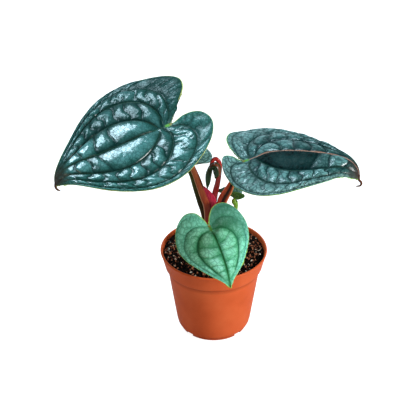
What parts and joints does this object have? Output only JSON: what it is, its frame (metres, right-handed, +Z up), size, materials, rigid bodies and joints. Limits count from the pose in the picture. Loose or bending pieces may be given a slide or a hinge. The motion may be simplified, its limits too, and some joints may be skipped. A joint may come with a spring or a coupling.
{
  "type": "potted anthurium",
  "caption": "Potted anthurium: glossy heart-shaped leaves with puckered, veined blades on slender stalks, rising from bark mix in a round nursery pot with a tapered collar.",
  "frame": {"origin": "on the pot's axis, in the plane of the pot's flat underside", "axes": "+Z up along the pot's axis, +Y away from the viewer of the picture, +X to the viewer's right"},
  "size_m": [0.3181, 0.1914, 0.2834],
  "materials": {
    "terracotta_plastic": "satin moulded polypropylene in a terracotta colour",
    "potting_mix": null,
    "stem_skin": "dry ringed skin of a fleshy stem",
    "brown_stalk": null,
    "green_stalk": "satin plant stalk",
    "red_stalk": "glossy young plant stalk",
    "crimson_sheath": "papery leaf sheath with a soft sheen",
    "dark_leaf": null,
    "mint_leaf": "satin pale green blade"
  },
  "bodies": {
    "root": {"pot": "terracotta_plastic", "potting_mix": "potting_mix", "stem": "stem_skin", "sheath": "crimson_sheath", "stalk_left": "brown_stalk", "stalk_right": "brown_stalk", "stalk_front": "green_stalk", "stalk_back_left": "brown_stalk", "stalk_back_right": "green_stalk", "stalk_young": "red_stalk", "leaf_left": "dark_leaf", "leaf_right": "dark_leaf", "leaf_front": "mint_leaf", "leaf_back_left": "dark_leaf", "leaf_back_right": "dark_leaf", "leaf_young": "dark_leaf"}
  },
  "joints": []
}
